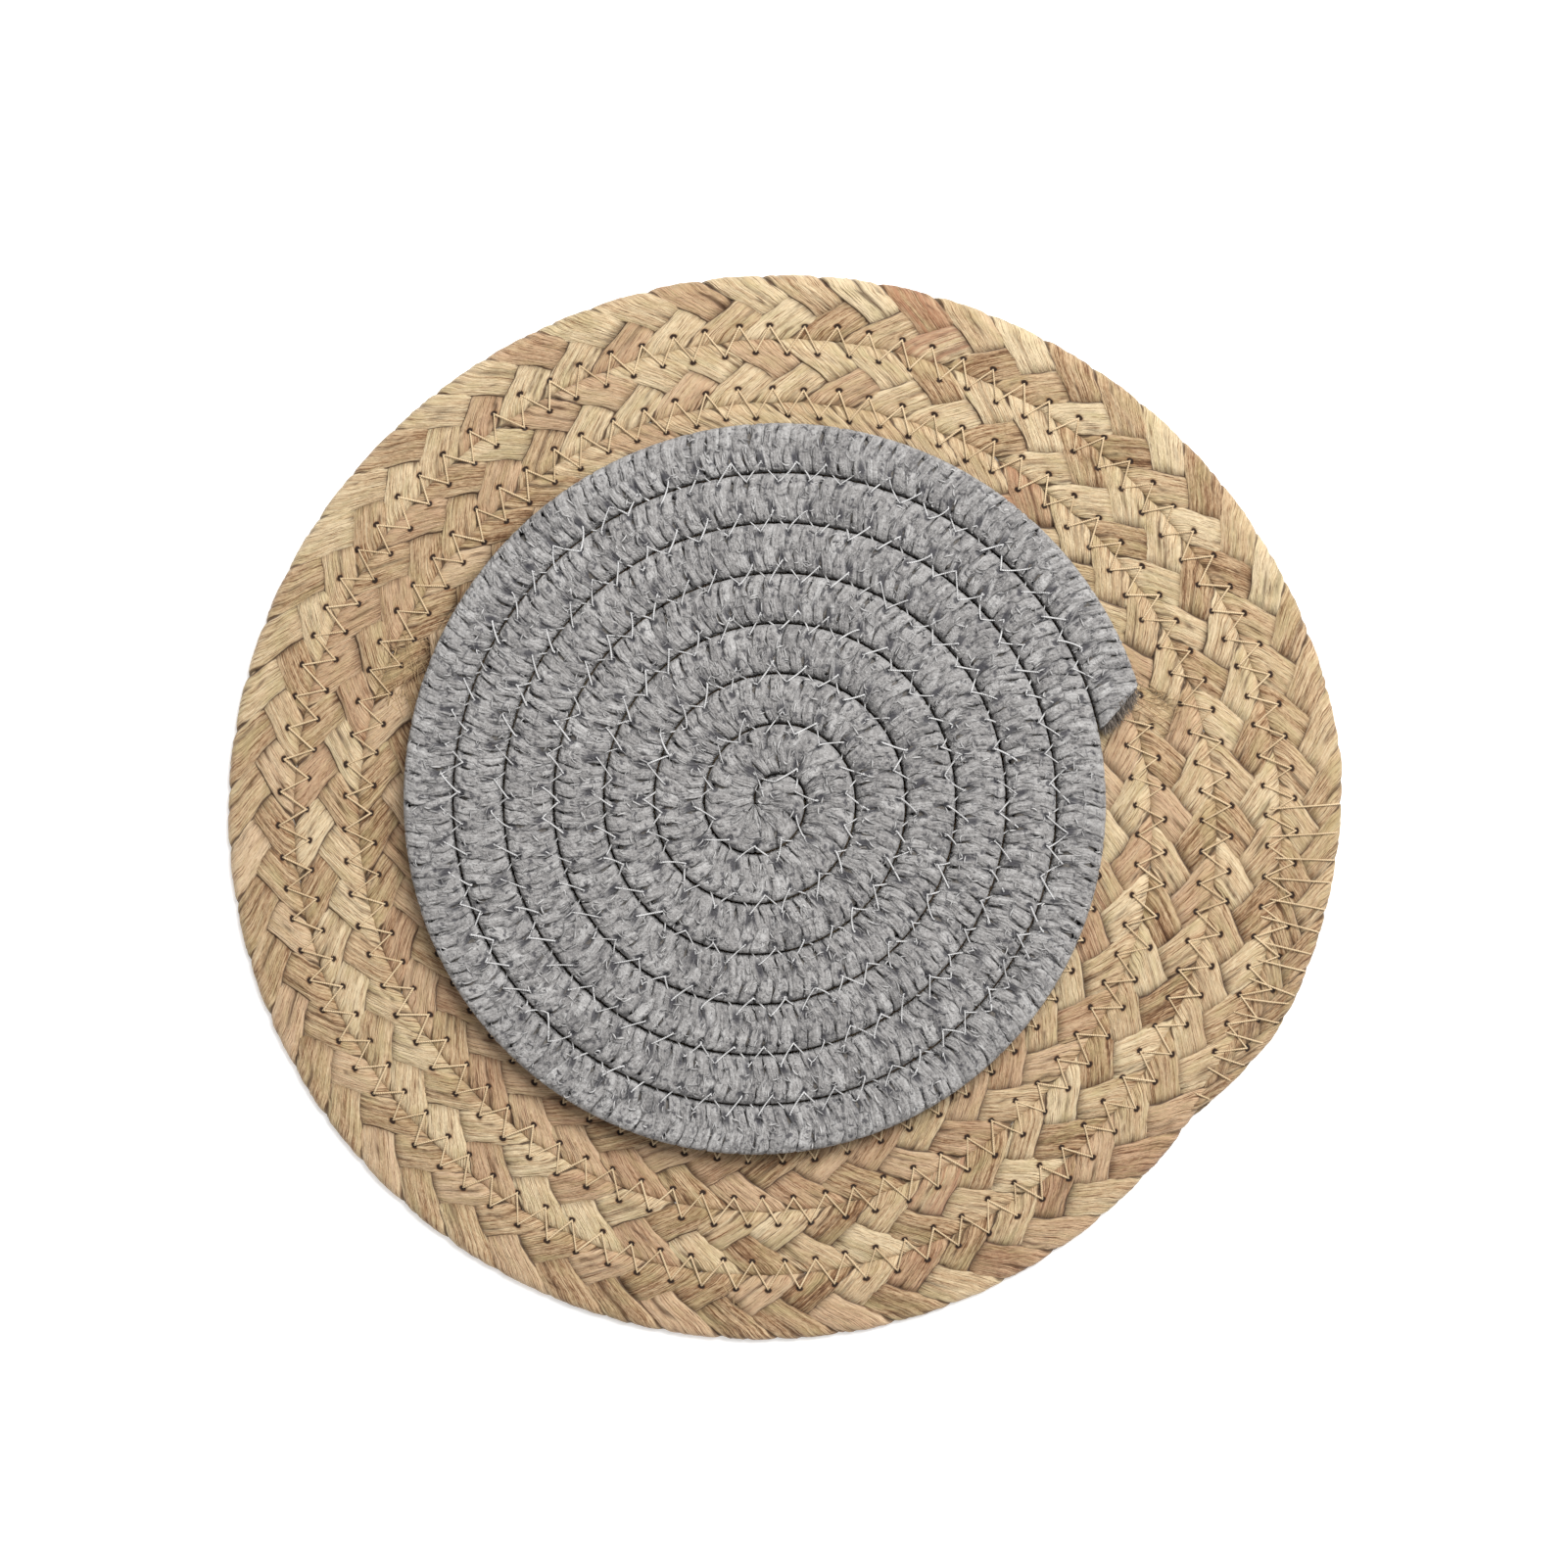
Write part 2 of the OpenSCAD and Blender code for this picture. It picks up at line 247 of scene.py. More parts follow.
class Nodes:
    """Short helpers around one material's node tree."""

    def __init__(self, name):
        self.material = bpy.data.materials.new(name)
        self.material.use_nodes = True
        self.tree = self.material.node_tree
        self.shader = self.tree.nodes["Principled BSDF"]

    def add(self, kind, values=None, **settings):
        node = self.tree.nodes.new(kind)
        for key, value in settings.items():
            setattr(node, key, value)
        for key, value in (values or {}).items():
            self.put(value, node.inputs[key])
        return node

    def put(self, value, socket):
        if isinstance(value, bpy.types.NodeSocket):
            self.tree.links.new(value, socket)
        else:
            socket.default_value = value

    def attribute(self, name, output="Fac"):
        return self.add("ShaderNodeAttribute", attribute_name=name).outputs[output]

    def math(self, operation, a, b=0.0, clamp=False):
        node = self.add("ShaderNodeMath", {0: a, 1: b}, operation=operation, use_clamp=clamp)
        return node.outputs[0]

    def vary(self, value, noise, gain):
        """Value plus gain times the noise's distance from its middle."""
        away = self.math("SUBTRACT", noise, 0.5)
        return self.math("ADD", value, self.math("MULTIPLY", away, gain))

    def total(self, *terms):
        """Sum of values, each times its weight."""
        parts = [self.math("MULTIPLY", value, weight) for value, weight in terms]
        result = parts[0]
        for part in parts[1:]:
            result = self.math("ADD", result, part)
        return result

    def scaled(self, vector, scale):
        node = self.add("ShaderNodeVectorMath", {0: vector, 1: scale}, operation="MULTIPLY")
        return node.outputs[0]

    def noise(self, vector, scale, detail=2.0, rough=0.5):
        """Noise over a vector, with one scale or a scale for each axis."""
        if isinstance(scale, tuple):
            vector, scale = self.scaled(vector, scale), 1.0
        node = self.add("ShaderNodeTexNoise", {"Vector": vector, "Scale": scale, "Detail": detail,
                                               "Roughness": rough})
        return node.outputs["Fac"]

    def ramp(self, value, *stops):
        node = self.add("ShaderNodeValToRGB", {"Fac": value})
        elements = node.color_ramp.elements
        while len(elements) < len(stops):
            elements.new(0.5)
        for element, (position, colour) in zip(elements, stops):
            element.position = position
            element.color = colour
        return node.outputs["Color"]

    def fade(self, value, low, high, start=0.0, end=1.0):
        node = self.add("ShaderNodeMapRange", {"Value": value, "From Min": low, "From Max": high,
                                               "To Min": start, "To Max": end})
        return node.outputs["Result"]

    def mix(self, share, a, b):
        node = self.add("ShaderNodeMix", data_type="RGBA")
        self.put(share, node.inputs[0])
        self.put(a, node.inputs[6])
        self.put(b, node.inputs[7])
        return node.outputs[2]

    def bump(self, height, distance_mm):
        node = self.add("ShaderNodeBump", {"Height": height, "Strength": 1.0,
                                           "Distance": distance_mm*MM})
        return node.outputs["Normal"]

    def finish(self, colour, roughness, normal=None, sheen=0.0, sheen_rough=0.5, specular=0.3):
        self.put(colour, self.shader.inputs["Base Color"])
        self.put(roughness, self.shader.inputs["Roughness"])
        if normal is not None:
            self.put(normal, self.shader.inputs["Normal"])
        self.shader.inputs["Sheen Weight"].default_value = sheen
        self.shader.inputs["Sheen Roughness"].default_value = sheen_rough
        self.shader.inputs["Specular IOR Level"].default_value = specular
        return self.material


HUSK_TONES = ((0.0, linear(88, 58, 36)), (0.2, linear(136, 101, 70)), (0.38, linear(174, 142, 107)),
              (0.55, linear(194, 165, 130)), (0.76, linear(206, 180, 143)),
              (1.0, linear(222, 201, 165)))
OLIVE, RUSSET, PINK = linear(178, 162, 116), linear(160, 106, 78), linear(184, 140, 114)
# The second colour here is painted shade for creases, tucked edges and under crossings.
FIBRE_LINE, CREASE_SHADE = linear(104, 66, 36), linear(68, 40, 18)
# Colours of the painted shade around and in the needle holes.
HOLE_RIM_SHADE, HOLE_SHADE = linear(142, 98, 62), linear(46, 28, 16)


def husk_hole_distance(n, streak):
    """Distance in mm from the nearest needle hole, uneven and a little longer along the strand."""
    offset = n.scaled(n.attribute("hole", "Vector"), (0.72, 1, 1))
    distance = n.add("ShaderNodeVectorMath", {0: offset}, operation="LENGTH").outputs["Value"]
    return n.vary(distance, streak, 0.7)


def husk_material():
    """Dry husk: pale tan leaf with fibres along it and brown streaks, with painted shade in its
    creases, along tucked edges, where it dives under the next strand, and in and around the needle
    holes.
    """
    n = Nodes("husk")
    grain = n.attribute("grain", "Vector")
    broad = n.noise(grain, (0.32, 0.02, 3.7), 2.0, 0.6)
    streak = n.noise(grain, (1.3, 0.05, 5.1), 3.0, 0.6)
    fibre = n.noise(grain, (2.6, 0.12, 9.3), 3.0, 0.7)
    blotch = n.noise(grain, (0.12, 0.09, 2.3), 3.0, 0.6)
    mottle = n.noise(grain, (1.1, 0.55, 4.3), 4.0, 0.7)
    level = n.attribute("tone")
    for noise, gain in ((broad, 0.7), (streak, 1.15), (fibre, 1.25), (mottle, 1.1)):
        level = n.vary(level, noise, gain)
    colour = n.ramp(level, *HUSK_TONES)
    colour = n.mix(n.fade(blotch, 0.46, 0.7, 0.0, 0.55), colour, OLIVE)
    russet = n.math("MULTIPLY", n.attribute("russet"), n.fade(broad, 0.35, 0.6), clamp=True)
    colour = n.mix(n.math("MULTIPLY", russet, 0.7), colour, RUSSET)
    pink = n.math("MULTIPLY", n.attribute("pink"), n.fade(streak, 0.3, 0.7), clamp=True)
    colour = n.mix(pink, colour, PINK)
    colour = n.mix(n.fade(fibre, 0.44, 0.35, 0.0, 0.9), colour, FIBRE_LINE)
    # Painted shade from the crease values: creases, tucked edges and the shadow where a strand dives
    # under another.
    colour = n.mix(n.attribute("crease"), colour, CREASE_SHADE)
    hole = husk_hole_distance(n, streak)
    # Painted shade at the needle holes: a darker ring on the dimple around each hole, then a dark
    # middle.
    colour = n.mix(n.fade(hole, 1.5, 0.9, 0.0, 0.4), colour, HOLE_RIM_SHADE)
    colour = n.mix(n.fade(hole, 0.98, 0.68), colour, HOLE_SHADE)
    normal = n.bump(n.total((fibre, 0.55), (streak, 0.9), (mottle, 0.5)), 1.0)
    rough = n.fade(streak, 0.3, 0.7, 0.5, 0.72)
    return n.finish(colour, rough, normal, sheen=0.08, sheen_rough=0.4, specular=0.28)


def thread_material(name, dark, pale, sheen):
    """Twisted sewing thread: fine slanted ply lines and a slow change of tone along it."""
    n = Nodes(name)
    thread = n.attribute("thread", "Vector")
    ply = n.add("ShaderNodeTexWave", {"Vector": n.scaled(thread, (0.9, 1.0, 0.0)), "Scale": 1.0,
                                      "Distortion": 0.8}, bands_direction="DIAGONAL").outputs["Fac"]
    fuzz = n.noise(thread, (2.5, 6.0, 1.7), 2.0)
    slow = n.noise(thread, (0.06, 0.0, 0.37), 1.0)
    colour = n.ramp(n.total((ply, 0.3), (slow, 0.7)), (0.1, dark), (0.8, pale))
    normal = n.bump(n.math("ADD", ply, fuzz), 0.12)
    return n.finish(colour, 0.75, normal, sheen=sheen)


def cotton_material(name, deep, dark, middle, pale):
    """Fluffy braided cotton: soft yarns with fibres along them, with painted shade in the gaps between
    bundles.
    """
    n = Nodes(name)
    yarn = n.attribute("yarn", "Vector")
    where = n.add("ShaderNodeTexCoord").outputs["Object"]
    fibre = n.noise(yarn, (2.0, 1.5, 3.1), 3.0, 0.65)
    ply = n.noise(yarn, (1.0, 0.6, 1.9), 2.0, 0.5)
    patch = n.noise(where, 95.0, 3.0, 0.6)
    fluff = n.noise(where, 620.0, 3.0, 0.7)
    speck = n.noise(where, 430.0, 2.0, 0.6)
    level = n.attribute("tone")
    for noise, gain in ((fibre, 0.8), (ply, 0.7), (patch, 0.3), (fluff, 0.9)):
        level = n.vary(level, noise, gain)
    colour = n.ramp(level, (0.05, dark), (0.45, middle), (0.95, pale))
    colour = n.mix(n.fade(speck, 0.43, 0.33, 0.0, 0.75), colour, deep)
    colour = n.mix(n.fade(speck, 0.6, 0.72, 0.0, 0.5), colour, pale)
    # The shade value darkens the cotton towards deep: painted shade in the gaps.
    groove = n.vary(n.attribute("groove"), fluff, 0.9)
    colour = n.mix(n.fade(groove, 0.35, 1.15, 0.0, 0.85), colour, deep)
    normal = n.bump(n.total((fibre, 0.6), (fluff, 0.8), (speck, 0.9)), 1.0)
    return n.finish(colour, 0.88, normal, sheen=0.25, sheen_rough=0.6, specular=0.15)


def fibre_material(name, dark, pale):
    """Loose single fibres, each with its own tone."""
    n = Nodes(name)
    thread = n.attribute("thread", "Vector")
    tone = n.noise(thread, (0.15, 0.0, 0.73), 1.0)
    colour = n.ramp(tone, (0.3, dark), (0.7, pale))
    normal = n.bump(n.noise(thread, (1.2, 3.0, 1.7), 2.0), 0.05)
    return n.finish(colour, 0.8, normal, sheen=0.1)


# ---- needle holes of the mat

# Each hole's distance from its seam and its shift along it, then the area that a hole marks
hole_rng = np.random.default_rng(11)
HOLE_REACH = 4.7 + hole_rng.uniform(-0.45, 0.45, SEAM_STITCHES + 1)
HOLE_SHIFT = hole_rng.uniform(-0.5, 0.5, SEAM_STITCHES + 1)
HOLE_AREA, HOLE_FADE, HOLE_FAR = 2.2, 1.5, 9.0


def hole_offset(s, v):
    """Along and across distance in mm from each point of the plait to its nearest needle hole,
    and a third distance that is 0 near the hole and large away from it."""
    turns = coil_turns(ROW_R, np.minimum(s, PLAIT_LEN))
    outer = v > 0
    seam_turns = turns - outer
    seam_s = coil_length(SEAM_R, seam_turns)
    parity = np.where(outer, 0, 1)
    number = parity + 2*np.round(((seam_s - SEAM_START)/STITCH_STEP - parity)/2).astype(int)
    real = (number >= 0) & (number <= SEAM_STITCHES) & (seam_turns >= 0) & (s < PLAIT_LEN)
    number = np.clip(number, 0, SEAM_STITCHES)
    along = seam_s - (SEAM_START + number*STITCH_STEP + HOLE_SHIFT[number])
    seam_v = np.where(outer, 1, -1)*(ROW_PITCH/2 - HOLE_REACH[number])
    across = v - seam_v
    furthest = np.maximum(np.abs(along), np.abs(across))
    past = smooth((furthest - HOLE_AREA)/HOLE_FADE)
    return along, across, np.where(real, HOLE_FAR*past, HOLE_FAR)


# ---- plaited husk

# A strand crosses the row from side to side, in folds of this radius. Slope is how far across it
# gets for each mm along, and a layer lies this far above or below the plait's middle.
# Thicknesses are from a strand's middle surface to its face.
SIDE = HALF_ROW - 0.35
FOLD_R = 2.5
SLOPE = 4*SIDE/PLAIT_PERIOD
RUN_PER_MM = math.hypot(1, 1/SLOPE)
LAYER_Z, PRESSED_Z = 1.42, 0.05
HUSK_THICK, FOLD_THICK, THINNEST = 1.24, 0.95, 0.12
CREASE_DEPTH, CREASE_WIDTH, CREASE_SHARE, CREASES = 0.42, 0.3, 0.65, 4

# Steps along a passage and across a strand. The steps across crowd towards its edges.
FLAT_STEPS, STRAND_STEPS, CROWDING = 20, 20, 0.94


def tail_share(s):
    """Share of the row's full width that is left at s."""
    return TAIL_TIP + (1 - TAIL_TIP)*np.clip(s/TAIL_LEN, 0, 1)**0.7


def tail_shift(s):
    """How far the plait's end is pulled in over the row inside it."""
    return 4.4*smooth((55 - s)/45) + 2.5*smooth((14 - s)/14)


def passage_samples():
    """Distances across the row of the sections of one passage, closer together at its folds."""
    fold = np.array([0, 0.3, 0.65])*FOLD_R
    return np.concatenate([fold, np.linspace(FOLD_R, 2*SIDE - FOLD_R, FLAT_STEPS),
                           2*SIDE - fold[::-1][:2]])


def strand_passages(third):
    """Where a strand starts, how often it crosses the row, and how many of those crossings carry
    it on past the modelled spiral to the mat's middle."""
    start = PLAIT_LEN - WIDEST_HALF - (PERIODS + third/3)*PLAIT_PERIOD
    early = math.floor((start + CENTRE_REACH)/HALF_PERIOD)
    late = 1 if third else 0
    return start - early*HALF_PERIOD, early + 2*PERIODS + late, early


def passage_shapes(count, passage, share, rng):
    """Half width, shift, lean and tilt of each section. Every passage has its own, and they die
    away at its folds."""
    mid = np.sin(math.pi*share)
    fold_width = rng.normal(0, 0.035, count + 1)
    width = 1 + blend_values(fold_width[passage], fold_width[passage + 1], share)
    width = width + mid*rng.normal(0.0, 0.06, count)[passage]
    petal = 0.08*np.cos(4*math.pi*share) - 0.065
    shift = mid*rng.normal(0, 0.45, count)[passage]
    lean = mid*rng.normal(0, 0.3, count)[passage]
    tilt = mid*rng.normal(0.22, 0.24, count)[passage]
    return (PLAIT_PERIOD/6 + 0.1)*(width - petal), shift, lean, tilt


def husk_lengths(f, passage, rng):
    """Number of the husk that each section is made of, and the distance along the whole strand."""
    run = 2*SIDE*RUN_PER_MM
    age = passage*run + f*RUN_PER_MM
    joins = np.cumsum(rng.uniform(90, 330, 400))
    at_fold = np.floor(age/run + 1e-6)*run
    return np.searchsorted(joins, at_fold), age


def two_faced(upper, lower):
    """Values on the strand's upper face and then, in the order of the points around, its lower."""
    return np.concatenate([upper, lower[:, ::-1]], 1)


class Strand:
    """One husk strand of the plait, worked out by sections along it and places across it. In mm,
    q is across the strand, w and u are along and across the flat plait, and s and v are along and
    outward beside the mat's spiral."""

    def __init__(self, third, seed):
        self.third = third
        self.rng = np.random.default_rng(seed)
        self.lay_flat()
        self.wind()

    def lay_flat(self):
        """Lays the strand as a flat zigzag that goes over and under the others."""
        start, count, early = strand_passages(self.third)
        f = np.tile(passage_samples(), count)
        passage = np.repeat(np.arange(count), len(f)//count)
        half, shift, lean, tilt = passage_shapes(count, passage, f/(2*SIDE), self.rng)
        self.husk, age = husk_lengths(f, passage, self.rng)
        self.count, self.passage = count, passage
        self.key, self.along = self.husk[:, None], age[:, None]
        turn = np.linspace(-1, 1, STRAND_STEPS)[None, :]*math.pi/2*CROWDING
        across = np.sin(turn)/math.sin(math.pi/2*CROWDING)
        f = f[:, None]
        q = half[:, None]*across
        self.past_crossing = q + 2*f/SLOPE - HALF_PERIOD
        dive = 1 - 2*smooth((self.past_crossing + 4)/7)
        self.from_fold = np.minimum(f, 2*SIDE - f)
        phi = np.clip(self.from_fold/FOLD_R, 0, 1)*math.pi/2
        self.rise = np.sin(phi)

        ragged = 1 + 0.045*layered_noise(self.along*0.22, across*0.6, self.key, 5, 2)
        self.q = q*ragged
        self.across = across
        step = (passage*HALF_PERIOD + f[:, 0]/SLOPE + shift)[:, None]
        self.w = start + step + self.q + lean[:, None]*across
        inward = ((passage + early) % 2 == 0)[:, None]
        u = np.where(inward, SIDE - f, f - SIDE)
        fold_u = SIDE - FOLD_R + FOLD_R*np.cos(phi)
        self.u = np.where(self.from_fold < FOLD_R, np.sign(u)*fold_u, u)
        drop = 0.75 + 0.2*layered_noise(self.along*0.05, 0*self.along, self.key, 8, 1)
        z = MAT_H/2 + dive*self.rise*(LAYER_Z - drop*np.abs(across)**2.4)
        self.z = z + tilt[:, None]*across*dive*self.rise

    def wind(self):
        """Winds the flat strand into the mat's spiral, narrower towards the plait's outer end."""
        from_end = PLAIT_LEN - self.w
        self.s = np.maximum(from_end, 0.15*from_end)
        self.tail = tail_share(self.s)
        self.v = (self.u + HALF_ROW)*self.tail - HALF_ROW - tail_shift(self.s)
        z = self.z + 0.5*smooth((40 - self.s)/30)
        self.middle = coil_point(ROW_R, self.s, self.v, z)
        self.hole = hole_offset(self.s, self.v)

    def outward(self):
        """Direction from the strand's middle surface to its upper face."""
        normal = np.cross(np.gradient(self.middle, axis=0), np.gradient(self.middle, axis=1))
        return normal/(np.linalg.norm(normal, axis=-1, keepdims=True) + 1e-9)

    def points(self, creases):
        """Points around each section: fibre ridges, puckers, creases and dimples at the holes."""
        thick = blend_values(FOLD_THICK, HUSK_THICK, smooth(self.from_fold/5))*self.tail**0.5
        thick = thick*(1 - 0.72*np.abs(self.across)**7)
        hole_s, hole_v, hole_far = self.hole
        dimple = 0.5*np.exp(-(np.hypot(hole_s*0.8, hole_v)/0.85)**2)*(hole_far < 1)
        inside = np.clip(1.15 - self.across**4, 0, 1)
        normal = self.outward()
        skins = []
        for face, crease in zip((1, -1), creases):
            key = self.key*2 + face
            ridge = 0.16*layered_noise(self.q*0.55, self.along*0.02, key, 21, 3)
            pucker = 0.07*layered_noise(self.q*0.25, self.along*0.25, key, 31, 2)
            height = thick + (ridge + pucker)*inside - CREASE_DEPTH*crease - dimple
            skins.append(self.middle + face*np.maximum(height, THINNEST)[..., None]*normal)
        points = two_faced(*skins)
        points[..., 2] = np.maximum(points[..., 2], PRESSED_Z)
        return points

    def creases(self):
        """Depth from 0 to 1 of the lengthwise creases on the upper and the lower face."""
        found = []
        for face in (1, -1):
            depth = np.zeros_like(self.q)
            for _ in range(CREASES):
                depth = np.maximum(depth, self.crease(face))
            found.append(depth)
        return found

    def crease(self, face):
        """One crease in most passages, slanted and wavy."""
        passage = self.passage[:, None]
        centre = self.rng.uniform(-6, 6, self.count)[passage]
        slant = self.rng.normal(0, 0.06, self.count)[passage]
        depth = (self.rng.random(self.count) < CREASE_SHARE)*self.rng.uniform(0.35, 1, self.count)
        wave = 0.5*value_noise(self.along*0.12, 0*self.along, passage, 40 + face)
        drift = slant*(self.along - self.along.min()) % 7
        return depth[passage]*np.exp(-((self.q - centre - drift - wave)/CREASE_WIDTH)**2)

    def shade(self, creases):
        """Painted shade: dark lines in the creases and along the tucked edges, and a painted shadow
        where the strand dives under the next one.
        """
        edge_shade = smooth((np.abs(self.across) - 0.85)/0.09)*0.98*(0.5 + 0.5*self.rise)
        x = self.past_crossing
        under = smooth((x + 3.2)/3.5)*smooth((5 - x)/3)*0.6
        return np.clip(two_faced(*creases)*0.9 + self.both(edge_shade + under), 0, 0.9)

    def both(self, value):
        """A value for each place across, the same on both faces."""
        value = value + np.zeros_like(self.q)
        return two_faced(value, value)

    def attributes(self, creases):
        """Values that the husk material reads at each point."""
        # rim raises the tone near the strand's edges: a painted highlight along them.
        rim = smooth((np.abs(self.across) - 0.7)/0.1)*0.1
        face_key = np.concatenate([self.key*2 + 0*self.q, self.key*2 + 1 + 0*self.q], 1)
        return {
            "grain": np.stack([self.both(self.q), self.both(self.along), face_key], -1),
            "hole": np.stack([self.both(value) for value in self.hole], -1),
            # The crease values are painted shade: creases, tucked edges and where the strand dives
            # under the next one.
            "crease": self.shade(creases),
            "tone": self.both(husk_tone(self.husk, self.rng)[:, None] + tone_drift(self.middle) + rim),
            "russet": self.both(husk_accent(self.passage, 77 + self.third, 0.025)[:, None]),
            "pink": self.both(husk_accent(self.husk, 78, 0.25)[:, None]*0.55),
        }


def husk_tone(husk, rng):
    """Tone of each husk, most often in the upper half of the palette."""
    tones = np.clip(rng.normal(0.59, 0.15, husk.max() + 1), 0.34, 0.9)
    return tones[husk]


def tone_drift(points):
    """Slow change of tone over the mat, a little darker towards its front."""
    x, y = points[..., 0], points[..., 1]
    return 0.07*value_noise(x/45 + 50, y/45 + 50, 0*x, 91) + 0.06*np.clip(y/150, -1, 1)


def husk_accent(number, seed, share):
    """1 on a share of the numbered husks or passages, 0 on the others."""
    picked = np.random.default_rng(seed + int(number.max())).random(number.max() + 1) < share
    return picked[number].astype(float)


def add_husk(material):
    """The plait's three strands, each in two pieces."""
    for number, letter in enumerate("abc"):
        strand = Strand(number, 100 + number)
        creases = strand.creases()
        points, attributes = strand.points(creases), strand.attributes(creases)
        for piece in add_in_halves(f"husk_strand_{letter}", points, attributes, 0.5):
            place(piece, "mat", "straw", material, f"husk_strand_{letter}")


# ---- sewing thread of the mat

# Places of a stitch from hole to hole, their heights, and how much of its sag each place takes
STITCH_SHARES = np.array([0, 0, 0.12, 0.3, 0.5, 0.7, 0.88, 1, 1])
MAT_STITCH_Z = np.array([3.9, 5.5, 5.85, 5.8, 5.5, 5.8, 5.85, 5.5, 3.9])
MAT_STITCH_SAG = np.array([0, 0.6, 0.8, 0.9, 1, 0.9, 0.8, 0.6, 0])
LOWEST_THREAD = 0.3


def seam_hole(number, pull):
    """Point at a needle hole of the mat, pulled towards the seam by pull. Its height is set later."""
    side = np.where(number % 2 == 0, -1, 1)
    s = SEAM_START + number*STITCH_STEP + HOLE_SHIFT[number]
    return coil_point(SEAM_R, s, side*(HOLE_REACH[number] - pull), 0)


def stitch_paths(hole, heights, pull):
    """Stitches from hole to hole: out of one, over its rim, straight across, and into the next."""
    number = np.arange(len(heights))
    rim_a, rim_b = hole(number, pull), hole(number + 1, pull)
    paths = rim_a[:, None, :] + (rim_b - rim_a)[:, None, :]*STITCH_SHARES[None, :, None]
    paths[:, 0], paths[:, -1] = hole(number, 0), hole(number + 1, 0)
    paths[:, :, 2] = heights
    return paths


def add_mat_threads(material):
    """Upper and lower thread of the mat's seam."""
    rng = np.random.default_rng(5)
    top = MAT_STITCH_Z - rng.uniform(-0.1, 0.7, SEAM_STITCHES)[:, None]*MAT_STITCH_SAG
    bottom = np.maximum(MAT_H - top, LOWEST_THREAD)
    for name, node, heights in (("mat_top_stitches", "mat_needle_thread", top),
                                ("mat_bottom_stitches", "mat_bobbin_thread", bottom)):
        paths = stitch_paths(seam_hole, heights, 0.35)
        radius = rng.uniform(0.25, 0.34, SEAM_STITCHES)[:, None]
        place(add_tubes(name, paths, radius), "mat", "mat_thread", material, node)


def rounded_path(corners):
    """Path shaped (tubes, corners, 3) with each of its corners cut off twice."""
    for _ in range(2):
        a, b = corners[:, :-1], corners[:, 1:]
        cut = np.stack([a*0.75 + b*0.25, a*0.25 + b*0.75], 2).reshape(len(a), -1, 3)
        corners = np.concatenate([corners[:, :1], cut[:, 1:-1], corners[:, -1:]], 1)
    return corners


def add_tail_binding(material):
    """Overcast stitches over the plait's tapering end."""
    rng = np.random.default_rng(8)
    count, first, step = 15, 16, 7.4
    s = first + np.arange(count)*step + rng.uniform(-2, 2, count)
    lean = rng.uniform(-3, 7.5, count)
    edge = 2*HALF_ROW*tail_share(s) - HALF_ROW - tail_shift(s)
    inner = -ROW_PITCH/2 - 3.6 + rng.uniform(-1.6, 1.6, count)
    corners = [(0, inner, 3.9), (0, inner + 0.4, 5.9), (0.5, edge - 1.6, 6.0),
               (0.6, edge - 0.15, 4.4), (0.7, edge - 0.15, 1.2),
               (0.8, edge - 1.6, 0.35), (1, inner + 0.4, 0.35), (1, inner, 1.8)]
    path = np.stack([coil_point(ROW_R, s + share*lean, v + 0*s, z) for share, v, z in corners], 1)
    piece = add_tubes("tail_overcast", rounded_path(path), 0.28)
    place(piece, "mat", "mat_thread", material, "tail_binding_thread")


# ---- frayed husk

TUFT_Z, TUFT_LOW, TUFT_HIGH = 5.2, 1.5, 5.75


def tuft(x, y, count, heading, rng):
    """Paths of split fibres around a place on the mat, heading in degrees, each bent a little."""
    start = np.array([x, y, TUFT_Z]) + rng.normal(0, 1, (count, 3))*[3.2, 3.6, 0.15]
    angle = rng.normal(math.radians(heading), 0.45, count)
    size = rng.uniform(0.4, 1, count)*5.5
    share = np.linspace(0, 1, 6)[None, :, None]
    way = np.stack([np.cos(angle), np.sin(angle), rng.uniform(-0.1, 0.12, count)], -1)[:, None, :]
    bend = (rng.normal(0, 0.25, (count, 3))*[1, 1, 0.3])[:, None, :]
    return start[:, None, :] + size[:, None, None]*(way*share + bend*share**2)


def add_frays(material):
    """Tufts where a new husk was laid in: their places, numbers of fibres and headings."""
    rng = np.random.default_rng(17)
    joins = ((-121.4, 50.7, 85, -70), (118.5, 31.5, 70, 25),
             (-16, -163, 16, 120), (-125, 38, 40, -80))
    paths = np.concatenate([tuft(*join, rng) for join in joins])
    paths[:, :, 2] = np.clip(paths[:, :, 2], TUFT_LOW, TUFT_HIGH)
    taper = np.linspace(1, 0.4, paths.shape[1])[None, :]
    radius = rng.uniform(0.1, 0.2, len(paths))[:, None]*taper
    place(add_tubes("husk_frays", paths, radius, 4), "mat", "straw", material)


# ---- rope coil

TURN_STEP = ROPE_PITCH/2
TURN_R = TURN_STEP*(np.arange(HALF_TURNS) + 1)
TURN_START = np.concatenate([[0], np.cumsum(math.pi*TURN_R)])
TIP_LEN = TURN_STEP - 0.1
ROPE_LEN = TURN_START[-1] - math.radians(END_TRIM)*TURN_R[-1]
ROUND_R = ROPE_H/2
FLAT = (ROPE_W - ROPE_H)/2
PERIMETER = 4*FLAT + 2*math.pi*ROUND_R
DISC_PLACE = np.array([DISC_X, DISC_Y, MAT_H + LAY_GAP])


def on_mat(points):
    """Puts points of the coil where the disc lies on the mat."""
    x, y, z = points[..., 0] - TURN_STEP/2, -points[..., 1], points[..., 2]
    c, s = math.cos(math.radians(ROPE_END_ANGLE)), math.sin(math.radians(ROPE_END_ANGLE))
    return np.stack([c*x - s*y, s*x + c*y, z], -1) + DISC_PLACE


